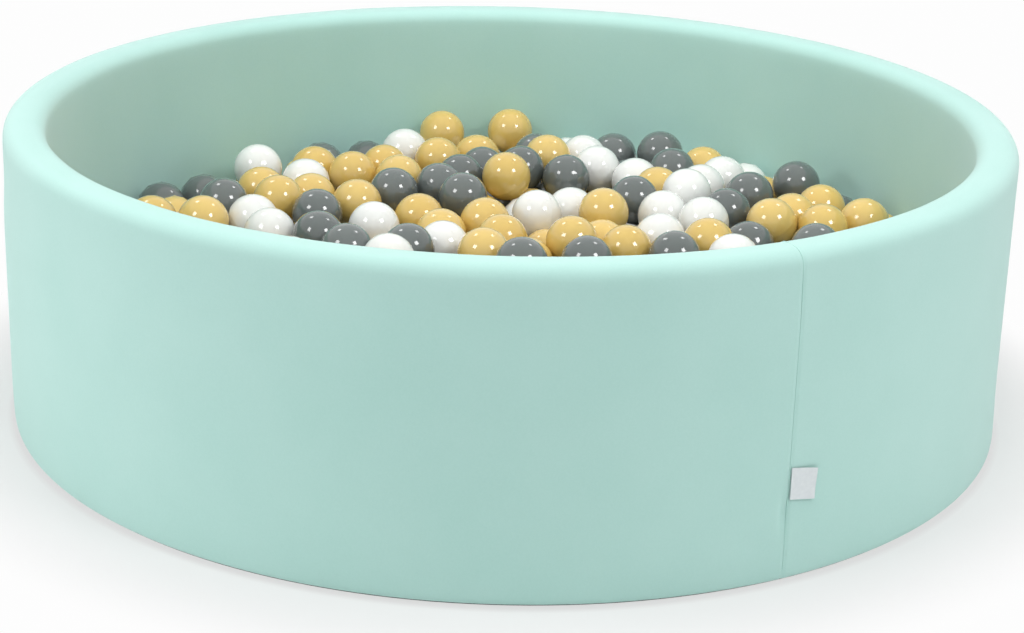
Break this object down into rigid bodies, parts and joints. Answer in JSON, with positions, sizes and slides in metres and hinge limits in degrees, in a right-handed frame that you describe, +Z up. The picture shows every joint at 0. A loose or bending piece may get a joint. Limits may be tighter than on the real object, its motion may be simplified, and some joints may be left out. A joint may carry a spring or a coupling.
{
  "type": "ball pit",
  "caption": "Round soft play ball pit: a padded ring in a stretch jersey cover, a padded floor mat, and a bed of glossy hollow balls that lift out.",
  "frame": {"origin": "on the floor, in the middle of the ring", "axes": "+Z up; -Y towards the viewer of the picture; +X to the viewer's right"},
  "size_m": [1.2998, 1.2998, 0.3938],
  "materials": {
    "mint_jersey": "matte",
    "foam": "matte",
    "grip_cloth": "matte",
    "satin": "satin",
    "zip_tape": "matte",
    "zip_coil": "satin",
    "zinc": "satin",
    "ball_beige": "gloss",
    "ball_grey": "gloss",
    "ball_white": "gloss"
  },
  "bodies": {
    "pit_wall": {"wall_foam": "foam", "wall_cover": "mint_jersey", "cover_seam": "mint_jersey", "side_label": "satin", "base_strip_outer": "grip_cloth", "base_strip_inner": "grip_cloth", "wall_zip_tape_outer": "zip_tape", "wall_zip_tape_inner": "zip_tape", "wall_zip_coil_outer": "zip_coil", "wall_zip_coil_inner": "zip_coil"},
    "floor_mat": {"mat_foam": "foam", "mat_cover_top": "mint_jersey", "mat_base_front": "grip_cloth", "mat_base_rear": "grip_cloth", "mat_zip_tape_front": "zip_tape", "mat_zip_tape_rear": "zip_tape", "mat_zip_coil_front": "zip_coil", "mat_zip_coil_rear": "zip_coil"},
    "ball_bed": {"ball_bed": "ball_beige"},
    "wall_zip_slider": {"wall_zip_slider": "zinc"},
    "wall_zip_puller": {"wall_zip_puller": "zinc"},
    "mat_zip_slider": {"mat_zip_slider": "zinc"},
    "mat_zip_puller": {"mat_zip_puller": "zinc"},
    "ball_beige_01": {"ball_beige_01": "ball_beige"},
    "ball_beige_02": {"ball_beige_02": "ball_beige"},
    "ball_beige_03": {"ball_beige_03": "ball_beige"},
    "ball_beige_04": {"ball_beige_04": "ball_beige"},
    "ball_beige_05": {"ball_beige_05": "ball_beige"},
    "ball_beige_06": {"ball_beige_06": "ball_beige"},
    "ball_beige_07": {"ball_beige_07": "ball_beige"},
    "ball_beige_08": {"ball_beige_08": "ball_beige"},
    "ball_beige_09": {"ball_beige_09": "ball_beige"},
    "ball_beige_10": {"ball_beige_10": "ball_beige"},
    "ball_beige_11": {"ball_beige_11": "ball_beige"},
    "ball_beige_12": {"ball_beige_12": "ball_beige"},
    "ball_beige_13": {"ball_beige_13": "ball_beige"},
    "ball_grey_01": {"ball_grey_01": "ball_grey"},
    "ball_grey_02": {"ball_grey_02": "ball_grey"},
    "ball_grey_03": {"ball_grey_03": "ball_grey"},
    "ball_grey_04": {"ball_grey_04": "ball_grey"},
    "ball_grey_05": {"ball_grey_05": "ball_grey"},
    "ball_grey_06": {"ball_grey_06": "ball_grey"},
    "ball_grey_07": {"ball_grey_07": "ball_grey"},
    "ball_grey_08": {"ball_grey_08": "ball_grey"},
    "ball_grey_09": {"ball_grey_09": "ball_grey"},
    "ball_grey_10": {"ball_grey_10": "ball_grey"},
    "ball_grey_11": {"ball_grey_11": "ball_grey"},
    "ball_grey_12": {"ball_grey_12": "ball_grey"},
    "ball_grey_13": {"ball_grey_13": "ball_grey"},
    "ball_grey_14": {"ball_grey_14": "ball_grey"},
    "ball_white_01": {"ball_white_01": "ball_white"},
    "ball_white_02": {"ball_white_02": "ball_white"},
    "ball_white_03": {"ball_white_03": "ball_white"},
    "ball_white_04": {"ball_white_04": "ball_white"},
    "ball_white_05": {"ball_white_05": "ball_white"},
    "ball_white_06": {"ball_white_06": "ball_white"},
    "ball_white_07": {"ball_white_07": "ball_white"},
    "ball_white_08": {"ball_white_08": "ball_white"},
    "ball_white_09": {"ball_white_09": "ball_white"},
    "ball_white_10": {"ball_white_10": "ball_white"}
  },
  "joints": [
    {"name": "mat_lift", "type": "slide", "parent": "pit_wall", "child": "floor_mat", "axis": [0, 0, 1], "range_m": [0, 0.42]},
    {"name": "bed_lift", "type": "slide", "parent": "floor_mat", "child": "ball_bed", "axis": [0, 0, 1], "range_m": [0, 0.36]},
    {"name": "wall_zip_run", "type": "hinge", "parent": "pit_wall", "child": "wall_zip_slider", "pos_m": [0, 0, 0], "axis": [0, 0, 1], "range_deg": [0, 341]},
    {"name": "wall_zip_puller_flip", "type": "hinge", "parent": "wall_zip_slider", "child": "wall_zip_puller", "pos_m": [0.38612, -0.4862, 0.0017], "axis": [0.6129, -0.7902, 0], "range_deg": [0, 170]},
    {"name": "mat_zip_run", "type": "slide", "parent": "floor_mat", "child": "mat_zip_slider", "axis": [1, 0, 0], "range_m": [0, 0.895]},
    {"name": "mat_zip_puller_flip", "type": "hinge", "parent": "mat_zip_slider", "child": "mat_zip_puller", "pos_m": [-0.4419, 0, 0.0017], "axis": [0, -1, 0], "range_deg": [0, 170]},
    {"name": "ball_beige_01_lift", "type": "slide", "parent": "ball_bed", "child": "ball_beige_01", "axis": [0, 0, 1], "range_m": [0, 0.26]},
    {"name": "ball_beige_02_lift", "type": "slide", "parent": "ball_bed", "child": "ball_beige_02", "axis": [0, 0, 1], "range_m": [0, 0.26]},
    {"name": "ball_beige_03_lift", "type": "slide", "parent": "ball_bed", "child": "ball_beige_03", "axis": [0, 0, 1], "range_m": [0, 0.26]},
    {"name": "ball_beige_04_lift", "type": "slide", "parent": "ball_bed", "child": "ball_beige_04", "axis": [0, 0, 1], "range_m": [0, 0.26]},
    {"name": "ball_beige_05_lift", "type": "slide", "parent": "ball_bed", "child": "ball_beige_05", "axis": [0, 0, 1], "range_m": [0, 0.26]},
    {"name": "ball_beige_06_lift", "type": "slide", "parent": "ball_bed", "child": "ball_beige_06", "axis": [0, 0, 1], "range_m": [0, 0.26]},
    {"name": "ball_beige_07_lift", "type": "slide", "parent": "ball_bed", "child": "ball_beige_07", "axis": [0, 0, 1], "range_m": [0, 0.26]},
    {"name": "ball_beige_08_lift", "type": "slide", "parent": "ball_bed", "child": "ball_beige_08", "axis": [0, 0, 1], "range_m": [0, 0.26]},
    {"name": "ball_beige_09_lift", "type": "slide", "parent": "ball_bed", "child": "ball_beige_09", "axis": [0, 0, 1], "range_m": [0, 0.26]},
    {"name": "ball_beige_10_lift", "type": "slide", "parent": "ball_bed", "child": "ball_beige_10", "axis": [0, 0, 1], "range_m": [0, 0.26]},
    {"name": "ball_beige_11_lift", "type": "slide", "parent": "ball_bed", "child": "ball_beige_11", "axis": [0, 0, 1], "range_m": [0, 0.26]},
    {"name": "ball_beige_12_lift", "type": "slide", "parent": "ball_bed", "child": "ball_beige_12", "axis": [0, 0, 1], "range_m": [0, 0.26]},
    {"name": "ball_beige_13_lift", "type": "slide", "parent": "ball_bed", "child": "ball_beige_13", "axis": [0, 0, 1], "range_m": [0, 0.26]},
    {"name": "ball_grey_01_lift", "type": "slide", "parent": "ball_bed", "child": "ball_grey_01", "axis": [0, 0, 1], "range_m": [0, 0.26]},
    {"name": "ball_grey_02_lift", "type": "slide", "parent": "ball_bed", "child": "ball_grey_02", "axis": [0, 0, 1], "range_m": [0, 0.26]},
    {"name": "ball_grey_03_lift", "type": "slide", "parent": "ball_bed", "child": "ball_grey_03", "axis": [0, 0, 1], "range_m": [0, 0.26]},
    {"name": "ball_grey_04_lift", "type": "slide", "parent": "ball_bed", "child": "ball_grey_04", "axis": [0, 0, 1], "range_m": [0, 0.26]},
    {"name": "ball_grey_05_lift", "type": "slide", "parent": "ball_bed", "child": "ball_grey_05", "axis": [0, 0, 1], "range_m": [0, 0.26]},
    {"name": "ball_grey_06_lift", "type": "slide", "parent": "ball_bed", "child": "ball_grey_06", "axis": [0, 0, 1], "range_m": [0, 0.26]},
    {"name": "ball_grey_07_lift", "type": "slide", "parent": "ball_bed", "child": "ball_grey_07", "axis": [0, 0, 1], "range_m": [0, 0.26]},
    {"name": "ball_grey_08_lift", "type": "slide", "parent": "ball_bed", "child": "ball_grey_08", "axis": [0, 0, 1], "range_m": [0, 0.26]},
    {"name": "ball_grey_09_lift", "type": "slide", "parent": "ball_bed", "child": "ball_grey_09", "axis": [0, 0, 1], "range_m": [0, 0.26]},
    {"name": "ball_grey_10_lift", "type": "slide", "parent": "ball_bed", "child": "ball_grey_10", "axis": [0, 0, 1], "range_m": [0, 0.26]},
    {"name": "ball_grey_11_lift", "type": "slide", "parent": "ball_bed", "child": "ball_grey_11", "axis": [0, 0, 1], "range_m": [0, 0.26]},
    {"name": "ball_grey_12_lift", "type": "slide", "parent": "ball_bed", "child": "ball_grey_12", "axis": [0, 0, 1], "range_m": [0, 0.26]},
    {"name": "ball_grey_13_lift", "type": "slide", "parent": "ball_bed", "child": "ball_grey_13", "axis": [0, 0, 1], "range_m": [0, 0.26]},
    {"name": "ball_grey_14_lift", "type": "slide", "parent": "ball_bed", "child": "ball_grey_14", "axis": [0, 0, 1], "range_m": [0, 0.26]},
    {"name": "ball_white_01_lift", "type": "slide", "parent": "ball_bed", "child": "ball_white_01", "axis": [0, 0, 1], "range_m": [0, 0.26]},
    {"name": "ball_white_02_lift", "type": "slide", "parent": "ball_bed", "child": "ball_white_02", "axis": [0, 0, 1], "range_m": [0, 0.26]},
    {"name": "ball_white_03_lift", "type": "slide", "parent": "ball_bed", "child": "ball_white_03", "axis": [0, 0, 1], "range_m": [0, 0.26]},
    {"name": "ball_white_04_lift", "type": "slide", "parent": "ball_bed", "child": "ball_white_04", "axis": [0, 0, 1], "range_m": [0, 0.26]},
    {"name": "ball_white_05_lift", "type": "slide", "parent": "ball_bed", "child": "ball_white_05", "axis": [0, 0, 1], "range_m": [0, 0.26]},
    {"name": "ball_white_06_lift", "type": "slide", "parent": "ball_bed", "child": "ball_white_06", "axis": [0, 0, 1], "range_m": [0, 0.26]},
    {"name": "ball_white_07_lift", "type": "slide", "parent": "ball_bed", "child": "ball_white_07", "axis": [0, 0, 1], "range_m": [0, 0.26]},
    {"name": "ball_white_08_lift", "type": "slide", "parent": "ball_bed", "child": "ball_white_08", "axis": [0, 0, 1], "range_m": [0, 0.26]},
    {"name": "ball_white_09_lift", "type": "slide", "parent": "ball_bed", "child": "ball_white_09", "axis": [0, 0, 1], "range_m": [0, 0.26]},
    {"name": "ball_white_10_lift", "type": "slide", "parent": "ball_bed", "child": "ball_white_10", "axis": [0, 0, 1], "range_m": [0, 0.26]}
  ]
}
